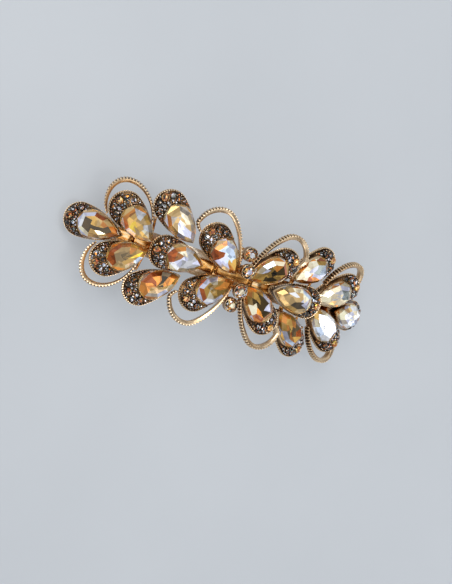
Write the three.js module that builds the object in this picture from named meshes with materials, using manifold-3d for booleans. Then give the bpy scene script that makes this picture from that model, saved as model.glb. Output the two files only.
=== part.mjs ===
// Rhinestone hair clip: a two-wing jewelled ornament on an automatic French barrette mechanism.
// Millimetres, +Z up, +X along the clip, origin under the middle of the clip on the surface it stands on.
import * as THREE from 'three';
import { mergeVertices } from 'three/addons/utils/BufferGeometryUtils.js';
import Module from 'manifold-3d';

const wasm = await Module();
wasm.setup();

// Heights below are measured from the ornament datum, which lies this far above the standing surface.
const DATUM_HEIGHT = 18.2;
const GROUND = -DATUM_HEIGHT;
const GAP = 0.3;
const FINE_GAP = 0.12;

// Pear bezel: a round end and two side arcs that meet in a tip at the local origin.
const PEAR_LENGTH = 14.0;
const PEAR_RADIUS = 4.5;
const BEZEL_TOP = -0.9;
const BEZEL_WALL = 0.32;
const BEZEL_POCKET_DEPTH = 2.4;
const BEZEL_FOOT = -1.5;

// Leaf-shaped cup under the bezel, with the crescent bed between its rim and the bezel.
const CUP_TIP = -0.9;
const CUP_END = 18.7;
const CUP_RADIUS = 5.45;
const CUP_RIM = -3.2;
const CUP_CHAMFER = 1.1;
const CUP_BOTTOM = -5.3;

// Pear stone: girdle inside the bezel, steep shoulder and crown above it, pavilion below it.
const STONE_TABLE_RISE = 1.15;
const STONE_TABLE_INSET = 1.75;
const STONE_SHOULDER = 0.1;
const STONE_SHOULDER_INSET = 0.6;
const STONE_GIRDLE_TOP = -0.85;
const STONE_GIRDLE_BOTTOM = -1.3;
const STONE_CULET = -2.15;
const STONE_CULET_INSET = 3.0;

// Segments in a quarter of the round end and in one side arc of a pear outline.
const ROUND_STEPS = 5;
const SIDE_STEPS = 4;
// Segments in a quarter turn of a round hole or eye.
const CURVE_STEPS = 8;
// Corners closer than this are one corner.
const MERGE_TOLERANCE = 1e-4;

// Petals of one wing: tip position, heading out from the wing axis, rise, cant towards the wing axis.
const PETALS = [
  { name: 'tip', tip: [42.0, 0, -3.6], heading: 0, rise: -28, cant: 0 },
  { name: 'outer', tip: [31.3, 1.2, -2.2], heading: 30, rise: -1, cant: 13 },
  { name: 'mid', tip: [13.4, 0, 1.65], heading: 0, rise: 5, cant: 0 },
  { name: 'side', tip: [19.2, 5.45, 0.5], heading: 36.5, rise: -5.5, cant: 12 },
  { name: 'inner', tip: [2.4, 0.9, 2.7], heading: 36.5, rise: 7.9, cant: 7.2 },
];

// Ribbon loops of one wing: the same seating as a petal, then the teardrop's length, half width and
// widest station, the station where the ribbon starts, how far it turns round the end (degrees), and the
// point (along, towards the wing axis) where it lands beside the cup wall.
const LOOPS = [
  { name: 'inner', tip: [1.5, 1.9, 1.0], heading: 40.2, rise: 0, cant: 8.5,
    length: 22.8, half: 6.9, widest: 16.6, start: 1.2, turn: 134, landing: [18.3, -5.0] },
  { name: 'outer', tip: [31.4, -3.8, -6.7], heading: 53.5, rise: -1.9, cant: 26.3,
    length: 25.2, half: 7.2, widest: 15.8, start: 10, turn: 165, landing: [15.5, -7.0] },
];
const RIBBON_THICKNESS = 0.75;
// Extra width that the ribbon gains on its inner side, greatest past the middle of its run.
const RIBBON_FLARE = 0.95;
const RIBBON_FLARE_BIAS = 1.4;
const RIBBON_HEIGHT = 2.0;
const RIBBON_STEPS = 22;
// Exponent that fills out a teardrop's sides, and the points laid along its side and round its end.
const TEARDROP_FULLNESS = 0.9;
const LOOP_SIDE_POINTS = 8;
const LOOP_END_POINTS = 10;

// Round chatons in a column across the middle: y, height of the bezel top, cup height.
const CHATONS = [
  { y: 3.35, top: 5.1, depth: 1.9 },
  { y: 8.5, top: 2.7, depth: 2.6 },
];
const CHATON_CUP_RADIUS = 2.4;
const CHATON_CUP_CHAMFER_WIDTH = 0.3;
const CHATON_CUP_CHAMFER_HEIGHT = 0.4;
const CHATON_CUP_SIDES = 16;
const CHATON_POCKET_RADIUS = 2.15;
const CHATON_RADIUS = 2.03;
const CHATON_POCKET_DEPTH = 1.2;
const CHATON_GIRDLE_BOTTOM = -0.15;
const CHATON_GIRDLE_TOP = 0.05;
const CHATON_TABLE_SHARE = 0.55;
const CHATON_TABLE_RISE = 0.7;
const CHATON_SIDES = 12;

// The frame and the bar follow the arc z = level - x * x / ARC.
const ARC = 230;
const SPINE_LEVEL = -3.9;
const SPINE_THICKNESS = 1.0;
const SPINE_WIDTH = 3.6;
const SPINE_HALF_LENGTH = 50;
const SPINE_STEPS = 20;
const STRUT_RADIUS = 0.8;
const STRUT_SIDES = 6;
// How far a strut's foot stands inboard of its head.
const STRUT_LEAN = 0.8;
const FOOT_DEPTH = 0.15;
const PAD_RADIUS = 1.7;
const PAD_THICKNESS = 0.8;
const PAD_SIDES = 8;
const CROSS_RIB_HALF_LENGTH = 9.6;
const CROSS_RIB_WIDTH = 2.4;
const RIVET_X = 15.5;
const RIVET_RADIUS = 0.8;
const RIVET_HOLE_RADIUS = 1.05;
const RIVET_HEAD_RADIUS = 1.5;
const RIVET_HEAD_THICKNESS = 0.4;
const RIVET_SIDES = 12;
const RIVET_DRILL_TOP = 0;
const RIVET_DRILL_BOTTOM = -9;

// Where the frame's pads sit under a petal cup, measured along the petal from its tip.
const PAD_STATION = 6;
const TIP_PETAL_SECOND_STATION = 12;

// Posts that carry the ribbon loops: foot on the frame, elbow, and head under the ribbon.
const LOOP_POST_RADIUS = 0.5;
const LOOP_POSTS = [
  [[0, 7.3, -4.4], [2.9, 7.3, -4.4], [2.9, 7.3, -0.5]],
  [[29.4, 0, -8.1], [30.6, 8.6, -8.1], [32.6, 8.6, -5.9]],
];

const BAR_LEVEL = -5.2;
const BAR_THICKNESS = 0.9;
const BAR_WIDTH = 8.2;
const BAR_HALF_LENGTH = 40.5;
const BAR_STEPS = 18;

// Hinge at the -X end.
const PIVOT_X = -38.5;
const PIVOT_Z = -15.4;
const EAR_LENGTH = 5.0;
const EAR_THICKNESS = 0.9;
const EAR_CHAMFER = 0.8;
// The ears' upper edge follows the bar's slope by this much either way.
const EAR_SLOPE = 0.2;
const PIN_RADIUS = 0.65;
const PIN_HOLE_RADIUS = 0.95;
const PIN_HEAD_RADIUS = 1.15;
const PIN_HEAD_THICKNESS = 0.45;
const PIN_SIDES = 14;

// Swing arm.
const ARM_LEVEL = -13.8;
const ARM_ARC = 1480;
const ARM_THICKNESS = 0.8;
const ARM_WIDTH = 5.8;
const ARM_STEPS = 12;
const EYE_RADIUS = 1.8;
// The strip starts this far past the pin hole and ends this far short of the window.
const STRIP_START_INSET = 0.4;
const STRIP_END_INSET = 0.2;
const WINDOW_PLATE_START = 34.4;
const WINDOW_PLATE_END = 44.0;
const WINDOW_PLATE_TOP = -15.2;
const WINDOW_PLATE_WIDTH = 8.4;
const PLATE_CORNER_LENGTH = 1;
const PLATE_CORNER_WIDTH = 1.5;
const WINDOW_START = 36.0;
const WINDOW_END = 41.2;
const WINDOW_HALF_WIDTH = 2.6;

// Clasp.
const SADDLE_START = 36.6;
const SADDLE_END = 40.4;
const SADDLE_BOTTOM = -14.3;
const SADDLE_HALF_WIDTH = 2.6;
const FINGER_LENGTH = 3.8;
const FINGER_ROOT_Y = 1.6;
const FINGER_ROOT_Z = -14.6;
const STEM_HALF_THICKNESS = 0.4;
const BARB_TOP = -1.65;
const BARB_REACH = 1.4;
const BARB_POINT = -2.0;
const THROAT = 0.9;
const THROAT_Z = -2.45;
const TAB_REACH = 1.5;
const TAB_TOP = -2.9;
const TAB_HEEL = 0.1;
const TAB_HEEL_RISE = 0.8;

// Bow spring.
const SPRING_LEVEL = -7.4;
const SPRING_SAG = 3.0;
const SPRING_HALF_LENGTH = 30;
const SPRING_STEPS = 16;
const SPRING_THICKNESS = 0.5;
const SPRING_WIDTH = 5.0;

const GOLD = { color: 0xa8805a, roughness: 0.34, metalness: 1.0 };
const CHAMPAGNE_GLASS = { color: 0xc79a52, roughness: 0.05, metalness: 0.0 };
const CHATON_GLASS = { color: 0x8f6b42, roughness: 0.05, metalness: 0.0 };
const STEEL = { color: 0xb9a68c, roughness: 0.3, metalness: 1.0 };
const SPRING_STEEL = { color: 0xa7a5a2, roughness: 0.25, metalness: 1.0 };

const degrees = THREE.MathUtils.degToRad;

// Point of the arc that the frame and the bar follow.
function arcHeight(level, x, arc = ARC) {
  return level - (x * x) / arc;
}

// Closed outline of a pear: tip on -X of the centre, round end on +X, offset outwards by grow.
function pearOutline(tipX, endX, radius, grow) {
  const centreX = endX - radius;
  const reach = centreX - tipX;
  const sideRadius = (reach * reach + radius * radius) / (2 * radius);
  const sideCentre = sideRadius - radius;
  const r = radius + grow;
  const R = sideRadius + grow;
  const tipAngle = Math.acos(sideCentre / R);
  const half = [];
  for (let i = 0; i < SIDE_STEPS; i++) {
    const angle = tipAngle * (1 - i / SIDE_STEPS);
    half.push([centreX - R * Math.sin(angle), R * Math.cos(angle) - sideCentre]);
  }
  for (let i = 0; i < ROUND_STEPS; i++) {
    const angle = (Math.PI / 2) * (1 - i / ROUND_STEPS);
    half.push([centreX + r * Math.cos(angle), r * Math.sin(angle)]);
  }
  const mirrored = half.slice(1).reverse().map(([x, y]) => [x, -y]);
  const outline = [...half, [centreX + r, 0], ...mirrored];
  return outline.reverse();
}

// Closed solid through a stack of outlines that all have the same number of points; the first and
// last outlines are capped. The outlines run anticlockwise seen from +Z.
function stackedRings(rings) {
  const count = rings[0].outline.length;
  const positions = [];
  for (const { outline, z } of rings) {
    for (const [x, y] of outline) positions.push(x, y, z);
  }
  const index = [];
  for (let r = 0; r + 1 < rings.length; r++) {
    for (let i = 0; i < count; i++) {
      const a = r * count + i;
      const b = r * count + ((i + 1) % count);
      index.push(a, b, b + count, a, b + count, a + count);
    }
  }
  const cap = (ring, flip) => {
    const contour = rings[ring].outline.map(([x, y]) => new THREE.Vector2(x, y));
    for (const [a, b, c] of THREE.ShapeUtils.triangulateShape(contour, [])) {
      const base = ring * count;
      if (flip) index.push(base + a, base + c, base + b);
      else index.push(base + a, base + b, base + c);
    }
  };
  cap(0, true);
  cap(rings.length - 1, false);
  const geometry = new THREE.BufferGeometry();
  geometry.setAttribute('position', new THREE.Float32BufferAttribute(positions, 3));
  geometry.setIndex(index);
  geometry.computeVertexNormals();
  return geometry;
}

function toManifold(geometry) {
  const plain = geometry.clone();
  plain.deleteAttribute('normal');
  plain.deleteAttribute('uv');
  const merged = mergeVertices(plain, MERGE_TOLERANCE);
  return new wasm.Manifold(new wasm.Mesh({
    numProp: 3,
    vertProperties: Float32Array.from(merged.attributes.position.array),
    triVerts: Uint32Array.from(merged.index.array),
  }));
}

function fromManifold(solid) {
  const mesh = solid.getMesh();
  const geometry = new THREE.BufferGeometry();
  geometry.setAttribute('position', new THREE.BufferAttribute(mesh.vertProperties, 3));
  geometry.setIndex(new THREE.BufferAttribute(mesh.triVerts, 1));
  geometry.computeVertexNormals();
  return geometry;
}

function joined(geometries) {
  return fromManifold(geometries.map(toManifold).reduce((sum, next) => sum.add(next)));
}

function named(name, geometry, look) {
  const mesh = new THREE.Mesh(geometry, new THREE.MeshStandardMaterial(look));
  mesh.name = name;
  return mesh;
}

// A flat shape in the XZ plane, pushed through width along Y and centred on it.
function sideProfile(points, width, holes = []) {
  const shape = new THREE.Shape(points.map(([x, z]) => new THREE.Vector2(x, z)));
  shape.holes = holes;
  const geometry = new THREE.ExtrudeGeometry(shape, {
    depth: width,
    bevelEnabled: false,
    curveSegments: CURVE_STEPS,
  });
  geometry.rotateX(Math.PI / 2);
  geometry.translate(0, width / 2, 0);
  return geometry;
}

// A strip of even thickness whose top follows a height function of x.
function bentStrip(top, from, to, steps, thickness, width) {
  const points = [];
  for (let i = 0; i <= steps; i++) {
    const x = from + ((to - from) * i) / steps;
    points.push([x, top(x)]);
  }
  const under = points.slice().reverse().map(([x, z]) => [x, z - thickness]);
  return sideProfile([...points, ...under], width);
}

// Rotation that lays local +X along the heading, and local +Z up, canted towards the wing axis.
function seat(piece, { tip, heading, rise, cant }, sx, sy) {
  const h = degrees(heading);
  const p = degrees(rise);
  const c = degrees(cant);
  const along = new THREE.Vector3(
    sx * Math.cos(h) * Math.cos(p),
    sy * Math.sin(h) * Math.cos(p),
    Math.sin(p),
  );
  const away = new THREE.Vector3(-sx * Math.sin(h), sy * Math.cos(h), 0);
  const level = new THREE.Vector3(
    -sx * Math.cos(h) * Math.sin(p),
    -sy * Math.sin(h) * Math.sin(p),
    Math.cos(p),
  );
  const up = level.multiplyScalar(Math.cos(c)).addScaledVector(away, -Math.sin(c));
  const across = new THREE.Vector3().crossVectors(up, along);
  piece.quaternion.setFromRotationMatrix(new THREE.Matrix4().makeBasis(along, across, up));
  piece.position.set(sx * tip[0], sy * tip[1], tip[2]);
  return piece;
}

// Cup: chamfered floor, rim wall, sloping bed, bezel wall and the pocket for the stone.
function petalCupGeometry() {
  const leaf = (grow) => pearOutline(CUP_TIP, CUP_END, CUP_RADIUS, grow);
  const pear = (grow) => pearOutline(0, PEAR_LENGTH, PEAR_RADIUS, grow);
  return stackedRings([
    { outline: leaf(-CUP_CHAMFER), z: CUP_BOTTOM },
    { outline: leaf(0), z: CUP_BOTTOM + CUP_CHAMFER },
    { outline: leaf(0), z: CUP_RIM },
    { outline: pear(0), z: BEZEL_FOOT },
    { outline: pear(0), z: BEZEL_TOP },
    { outline: pear(-BEZEL_WALL), z: BEZEL_TOP },
    { outline: pear(-BEZEL_WALL), z: -BEZEL_POCKET_DEPTH },
  ]);
}

function pearStoneGeometry() {
  const pear = (grow) => pearOutline(0, PEAR_LENGTH, PEAR_RADIUS, grow);
  const girdle = pear(-BEZEL_WALL - FINE_GAP);
  return stackedRings([
    { outline: pear(-STONE_CULET_INSET), z: STONE_CULET },
    { outline: girdle, z: STONE_GIRDLE_BOTTOM },
    { outline: girdle, z: STONE_GIRDLE_TOP },
    { outline: pear(-STONE_SHOULDER_INSET), z: STONE_SHOULDER },
    { outline: pear(-STONE_TABLE_INSET), z: STONE_TABLE_RISE },
  ]);
}

// Centre line of a loop's teardrop at a station, on the side given by its sign.
function teardropPoint(loop, station, side) {
  const { length, half, widest } = loop;
  let width;
  if (station < widest) {
    width = half * Math.pow(Math.sin((station / widest) * (Math.PI / 2)), TEARDROP_FULLNESS);
  } else {
    const t = (station - widest) / (length - widest);
    width = half * Math.sqrt(Math.max(0, 1 - t * t));
  }
  return new THREE.Vector2(station, side * width);
}

// Open ribbon: out along the side away from the wing axis, round the end, and back to the cup wall.
function ribbonGeometry(loop, side) {
  const turn = loop.length - loop.widest;
  const line = [];
  for (let i = 0; i <= LOOP_SIDE_POINTS; i++) {
    const station = loop.start + ((loop.widest - loop.start) * i) / LOOP_SIDE_POINTS;
    line.push(teardropPoint(loop, station, side));
  }
  for (let i = 1; i <= LOOP_END_POINTS; i++) {
    const angle = (degrees(loop.turn) * i) / LOOP_END_POINTS;
    line.push(new THREE.Vector2(loop.widest + turn * Math.sin(angle), side * loop.half * Math.cos(angle)));
  }
  line.push(new THREE.Vector2(loop.landing[0], side * loop.landing[1]));
  const curve = new THREE.CatmullRomCurve3(line.map((p) => new THREE.Vector3(p.x, p.y, 0)));
  const outer = [];
  const inner = [];
  for (let i = 0; i <= RIBBON_STEPS; i++) {
    const run = i / RIBBON_STEPS;
    const p = curve.getPointAt(run);
    const t = curve.getTangentAt(run);
    const outward = new THREE.Vector2(-t.y, t.x).multiplyScalar(side);
    const flare = RIBBON_FLARE * Math.sin(Math.PI * Math.pow(run, RIBBON_FLARE_BIAS));
    const inset = RIBBON_THICKNESS / 2 + flare;
    outer.push(new THREE.Vector2(p.x, p.y).addScaledVector(outward, RIBBON_THICKNESS / 2));
    inner.push(new THREE.Vector2(p.x, p.y).addScaledVector(outward, -inset));
  }
  const shape = new THREE.Shape([...outer, ...inner.reverse()]);
  const geometry = new THREE.ExtrudeGeometry(shape, { depth: RIBBON_HEIGHT, bevelEnabled: false });
  geometry.translate(0, 0, -RIBBON_HEIGHT / 2);
  return geometry;
}

function chatonCupGeometry(depth) {
  const profile = [
    [0, -depth],
    [CHATON_CUP_RADIUS - CHATON_CUP_CHAMFER_WIDTH, -depth],
    [CHATON_CUP_RADIUS, -depth + CHATON_CUP_CHAMFER_HEIGHT],
    [CHATON_CUP_RADIUS, 0],
    [CHATON_POCKET_RADIUS, 0],
    [CHATON_POCKET_RADIUS, -CHATON_POCKET_DEPTH],
    [0, -CHATON_POCKET_DEPTH],
  ].map(([x, y]) => new THREE.Vector2(x, y));
  const geometry = new THREE.LatheGeometry(profile, CHATON_CUP_SIDES);
  geometry.rotateX(Math.PI / 2);
  return geometry;
}

function chatonGeometry() {
  const profile = [
    [0, -CHATON_POCKET_DEPTH + FINE_GAP],
    [CHATON_RADIUS, CHATON_GIRDLE_BOTTOM],
    [CHATON_RADIUS, CHATON_GIRDLE_TOP],
    [CHATON_RADIUS * CHATON_TABLE_SHARE, CHATON_TABLE_RISE],
    [0, CHATON_TABLE_RISE],
  ].map(([x, y]) => new THREE.Vector2(x, y));
  const geometry = new THREE.LatheGeometry(profile, CHATON_SIDES);
  geometry.rotateX(Math.PI / 2);
  return geometry;
}

function addPetals(group) {
  for (const sx of [-1, 1]) {
    const wing = sx < 0 ? 'left' : 'right';
    for (const petal of PETALS) {
      const rows = petal.heading === 0 ? [1] : [1, -1];
      for (const sy of rows) {
        const row = rows.length === 1 ? '' : sy > 0 ? '_back' : '_front';
        const holder = seat(new THREE.Group(), petal, sx, sy);
        const place = `${wing}_${petal.name}${row}`;
        holder.add(named(`petal_cup_${place}`, petalCupGeometry(), GOLD));
        holder.add(named(`pear_stone_${place}`, pearStoneGeometry(), CHAMPAGNE_GLASS));
        group.add(holder);
      }
    }
  }
}

function addLoops(group) {
  for (const sx of [-1, 1]) {
    const wing = sx < 0 ? 'left' : 'right';
    for (const loop of LOOPS) {
      for (const sy of [1, -1]) {
        const row = sy > 0 ? 'back' : 'front';
        const name = `ribbon_loop_${wing}_${loop.name}_${row}`;
        const ribbon = named(name, ribbonGeometry(loop, sx * sy), GOLD);
        group.add(seat(ribbon, loop, sx, sy));
      }
    }
  }
}

function addChatons(group) {
  let number = 1;
  for (const [index, sy] of [[1, 1], [0, 1], [0, -1], [1, -1]]) {
    const { y, top, depth } = CHATONS[index];
    const holder = new THREE.Group();
    holder.position.set(0, sy * y, top);
    holder.add(named(`chaton_cup_${number}`, chatonCupGeometry(depth), GOLD));
    holder.add(named(`chaton_${number}`, chatonGeometry(), CHATON_GLASS));
    group.add(holder);
    number += 1;
  }
}

// Round strut between two points.
function strut(from, to, radius = STRUT_RADIUS, sides = STRUT_SIDES) {
  const a = new THREE.Vector3(...from);
  const b = new THREE.Vector3(...to);
  const geometry = new THREE.CylinderGeometry(radius, radius, a.distanceTo(b), sides);
  const turn = new THREE.Quaternion().setFromUnitVectors(
    new THREE.Vector3(0, 1, 0),
    b.clone().sub(a).normalize(),
  );
  geometry.applyQuaternion(turn);
  const middle = a.add(b).multiplyScalar(0.5);
  geometry.translate(middle.x, middle.y, middle.z);
  return geometry;
}

// Round cutter for the rivet holes through the spine and the bar.
function rivetDrill(sx) {
  const x = sx * RIVET_X;
  return strut([x, 0, RIVET_DRILL_BOTTOM], [x, 0, RIVET_DRILL_TOP], RIVET_HOLE_RADIUS, RIVET_SIDES);
}

// Pad under a petal cup and the strut that joins it to the spine.
function petalSupport(petal, sx, sy, station) {
  const holder = seat(new THREE.Object3D(), petal, sx, sy);
  holder.updateMatrix();
  const padTop = CUP_BOTTOM - GAP;
  const top = new THREE.Vector3(station, 0, padTop).applyMatrix4(holder.matrix);
  const under = new THREE.Vector3(station, 0, padTop - PAD_THICKNESS).applyMatrix4(holder.matrix);
  const foot = [under.x - sx * STRUT_LEAN, 0, arcHeight(SPINE_LEVEL, under.x) - FOOT_DEPTH];
  return [strut(under.toArray(), top.toArray(), PAD_RADIUS, PAD_SIDES), strut(foot, under.toArray())];
}

// Frame: arched spine, cross rib, and the pads and posts under the cups, chatons and loops.
function ornamentFrameGeometry() {
  const spineTop = (x) => arcHeight(SPINE_LEVEL, x);
  const pieces = [
    bentStrip(spineTop, -SPINE_HALF_LENGTH, SPINE_HALF_LENGTH, SPINE_STEPS, SPINE_THICKNESS, SPINE_WIDTH),
  ];
  const rib = new THREE.BoxGeometry(CROSS_RIB_WIDTH, 2 * CROSS_RIB_HALF_LENGTH, SPINE_THICKNESS);
  rib.translate(0, 0, SPINE_LEVEL - SPINE_THICKNESS / 2);
  pieces.push(rib);
  for (const sx of [-1, 1]) {
    for (const petal of PETALS) {
      for (const sy of petal.heading === 0 ? [1] : [1, -1]) {
        pieces.push(...petalSupport(petal, sx, sy, PAD_STATION));
      }
    }
    pieces.push(...petalSupport(PETALS[0], sx, 1, TIP_PETAL_SECOND_STATION));
    for (const sy of [-1, 1]) {
      for (const [foot, elbow, head] of LOOP_POSTS) {
        const [a, b, c] = [foot, elbow, head].map(([x, y, z]) => [sx * x, sy * y, z]);
        pieces.push(strut(a, b, LOOP_POST_RADIUS), strut(b, c, LOOP_POST_RADIUS));
      }
    }
  }
  for (const { y, top, depth } of CHATONS) {
    for (const sy of [-1, 1]) {
      const foot = [0, sy * y, SPINE_LEVEL - SPINE_THICKNESS / 2];
      pieces.push(strut(foot, [0, sy * y, top - depth - GAP]));
    }
  }
  let solid = pieces.map(toManifold).reduce((sum, next) => sum.add(next));
  for (const sx of [-1, 1]) {
    solid = solid.subtract(toManifold(rivetDrill(sx)));
  }
  return fromManifold(solid);
}

function circleHole(x, z, radius) {
  return new THREE.Path().absarc(x, z, radius, 0, 2 * Math.PI, true);
}

// Arched bar with the two hinge ears that also stand on the ground.
function baseBarGeometry() {
  const barTop = (x) => arcHeight(BAR_LEVEL, x);
  let solid = toManifold(
    bentStrip(barTop, -BAR_HALF_LENGTH, BAR_HALF_LENGTH, BAR_STEPS, BAR_THICKNESS, BAR_WIDTH),
  );
  const earTop = barTop(PIVOT_X) - BAR_THICKNESS / 2;
  const half = EAR_LENGTH / 2;
  const outline = [
    [PIVOT_X - half, earTop - EAR_SLOPE],
    [PIVOT_X - half, GROUND + EAR_CHAMFER],
    [PIVOT_X - half + EAR_CHAMFER, GROUND],
    [PIVOT_X + half - EAR_CHAMFER, GROUND],
    [PIVOT_X + half, GROUND + EAR_CHAMFER],
    [PIVOT_X + half, earTop + EAR_SLOPE],
  ];
  for (const sy of [-1, 1]) {
    const ear = sideProfile(outline, EAR_THICKNESS, [circleHole(PIVOT_X, PIVOT_Z, PIN_HOLE_RADIUS)]);
    ear.translate(0, (sy * (BAR_WIDTH - EAR_THICKNESS)) / 2, 0);
    solid = solid.add(toManifold(ear));
  }
  for (const sx of [-1, 1]) {
    solid = solid.subtract(toManifold(rivetDrill(sx)));
  }
  return fromManifold(solid);
}

// Solid of revolution about the local Y axis.
function turned(profile, segments) {
  return new THREE.LatheGeometry(profile.map(([x, y]) => new THREE.Vector2(x, y)), segments);
}

function hingePinGeometry() {
  const shoulder = BAR_WIDTH / 2 + FINE_GAP;
  const end = shoulder + PIN_HEAD_THICKNESS;
  return turned([
    [0, -end],
    [PIN_HEAD_RADIUS, -end],
    [PIN_HEAD_RADIUS, -shoulder],
    [PIN_RADIUS, -shoulder],
    [PIN_RADIUS, shoulder],
    [PIN_HEAD_RADIUS, shoulder],
    [PIN_HEAD_RADIUS, end],
    [0, end],
  ], PIN_SIDES);
}

function rivetGeometry() {
  const tilt = (RIVET_HEAD_RADIUS * 2 * RIVET_X) / ARC;
  const upper = arcHeight(SPINE_LEVEL, RIVET_X) + tilt + FINE_GAP;
  const lower = arcHeight(BAR_LEVEL, RIVET_X) - BAR_THICKNESS - tilt - FINE_GAP;
  const rivet = turned([
    [0, lower - RIVET_HEAD_THICKNESS],
    [RIVET_HEAD_RADIUS, lower - RIVET_HEAD_THICKNESS],
    [RIVET_HEAD_RADIUS, lower],
    [RIVET_RADIUS, lower],
    [RIVET_RADIUS, upper],
    [RIVET_HEAD_RADIUS, upper],
    [RIVET_HEAD_RADIUS, upper + RIVET_HEAD_THICKNESS],
    [0, upper + RIVET_HEAD_THICKNESS],
  ], RIVET_SIDES);
  rivet.rotateX(Math.PI / 2);
  return rivet;
}

// Swing arm, drawn about its pivot: rolled eye, arched strip and the window plate at the free end.
function swingArmGeometry() {
  const eye = new THREE.Shape().absarc(PIVOT_X, PIVOT_Z, EYE_RADIUS, 0, 2 * Math.PI, false);
  eye.holes = [circleHole(PIVOT_X, PIVOT_Z, PIN_HOLE_RADIUS)];
  const eyeTube = new THREE.ExtrudeGeometry(eye, {
    depth: ARM_WIDTH,
    bevelEnabled: false,
    curveSegments: CURVE_STEPS,
  });
  eyeTube.rotateX(Math.PI / 2);
  eyeTube.translate(0, ARM_WIDTH / 2, 0);
  const armTop = (x) => arcHeight(ARM_LEVEL, x, ARM_ARC);
  const stripStart = PIVOT_X + PIN_HOLE_RADIUS + STRIP_START_INSET;
  const stripEnd = WINDOW_START - STRIP_END_INSET;
  const strip = bentStrip(armTop, stripStart, stripEnd, ARM_STEPS, ARM_THICKNESS, ARM_WIDTH);
  const half = WINDOW_PLATE_WIDTH / 2;
  const plate = new THREE.Shape([
    new THREE.Vector2(WINDOW_PLATE_START, -half),
    new THREE.Vector2(WINDOW_PLATE_END - PLATE_CORNER_LENGTH, -half),
    new THREE.Vector2(WINDOW_PLATE_END, -half + PLATE_CORNER_WIDTH),
    new THREE.Vector2(WINDOW_PLATE_END, half - PLATE_CORNER_WIDTH),
    new THREE.Vector2(WINDOW_PLATE_END - PLATE_CORNER_LENGTH, half),
    new THREE.Vector2(WINDOW_PLATE_START, half),
  ]);
  plate.holes = [new THREE.Path([
    new THREE.Vector2(WINDOW_START, -WINDOW_HALF_WIDTH),
    new THREE.Vector2(WINDOW_START, WINDOW_HALF_WIDTH),
    new THREE.Vector2(WINDOW_END, WINDOW_HALF_WIDTH),
    new THREE.Vector2(WINDOW_END, -WINDOW_HALF_WIDTH),
  ])];
  const platePiece = new THREE.ExtrudeGeometry(plate, { depth: ARM_THICKNESS, bevelEnabled: false });
  platePiece.translate(0, 0, WINDOW_PLATE_TOP - ARM_THICKNESS);
  const arm = joined([eyeTube, strip, platePiece]);
  arm.translate(-PIVOT_X, 0, -PIVOT_Z);
  return arm;
}

function claspSaddleGeometry() {
  const underBar = (x) => arcHeight(BAR_LEVEL, x) - BAR_THICKNESS - GAP;
  return sideProfile([
    [SADDLE_START, underBar(SADDLE_START)],
    [SADDLE_END, underBar(SADDLE_END)],
    [SADDLE_END, SADDLE_BOTTOM],
    [SADDLE_START, SADDLE_BOTTOM],
  ], 2 * SADDLE_HALF_WIDTH);
}

// Catch finger, drawn about its root in the YZ plane: stem, barb under the arm, flared pinch tab.
function claspFingerGeometry(sy) {
  const bottom = GROUND - FINGER_ROOT_Z;
  const outline = [
    [-STEM_HALF_THICKNESS, 0],
    [STEM_HALF_THICKNESS, 0],
    [STEM_HALF_THICKNESS, BARB_TOP],
    [BARB_REACH, BARB_POINT],
    [THROAT, THROAT_Z],
    [TAB_REACH, TAB_TOP],
    [TAB_REACH, bottom],
    [TAB_HEEL, bottom],
    [-STEM_HALF_THICKNESS, bottom + TAB_HEEL_RISE],
  ];
  const shape = new THREE.Shape(outline.map(([y, z]) => new THREE.Vector2(z, sy * y)));
  const geometry = new THREE.ExtrudeGeometry(shape, { depth: FINGER_LENGTH, bevelEnabled: false });
  geometry.rotateY(-Math.PI / 2);
  geometry.translate(FINGER_LENGTH / 2, 0, 0);
  return geometry;
}

function bowSpringGeometry() {
  const springTop = (x) => SPRING_LEVEL - SPRING_SAG * (x / SPRING_HALF_LENGTH) ** 2;
  const half = SPRING_HALF_LENGTH;
  return bentStrip(springTop, -half, half, SPRING_STEPS, SPRING_THICKNESS, SPRING_WIDTH);
}

function addMechanism(group) {
  group.add(named('ornament_frame', ornamentFrameGeometry(), GOLD));
  group.add(named('base_bar', baseBarGeometry(), STEEL));
  for (const [name, sx] of [['rivet_left', -1], ['rivet_right', 1]]) {
    const rivet = named(name, rivetGeometry(), STEEL);
    rivet.position.x = sx * RIVET_X;
    group.add(rivet);
  }
  const pin = named('hinge_pin', hingePinGeometry(), STEEL);
  pin.position.set(PIVOT_X, 0, PIVOT_Z);
  group.add(pin);
  const arm = named('swing_arm', swingArmGeometry(), STEEL);
  arm.position.set(PIVOT_X, 0, PIVOT_Z);
  group.add(arm);
  group.add(named('clasp_saddle', claspSaddleGeometry(), STEEL));
  for (const [name, sy] of [['clasp_finger_back', 1], ['clasp_finger_front', -1]]) {
    const finger = named(name, claspFingerGeometry(sy), STEEL);
    finger.position.set((SADDLE_START + SADDLE_END) / 2, sy * FINGER_ROOT_Y, FINGER_ROOT_Z);
    group.add(finger);
  }
  group.add(named('bow_spring', bowSpringGeometry(), SPRING_STEEL));
}

const root = new THREE.Group();
const clip = new THREE.Group();
clip.position.z = DATUM_HEIGHT;
root.add(clip);
addPetals(clip);
addLoops(clip);
addChatons(clip);
addMechanism(clip);

export default root;
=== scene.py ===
"""Looks of the rhinestone hair clip: milled petal cups with pear stones and pave, ribbon loops,
chatons and the steel barrette under them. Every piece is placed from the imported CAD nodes."""
import math
import random

import bmesh
import bpy
import numpy as np
from mathutils import Matrix, Vector


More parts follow.
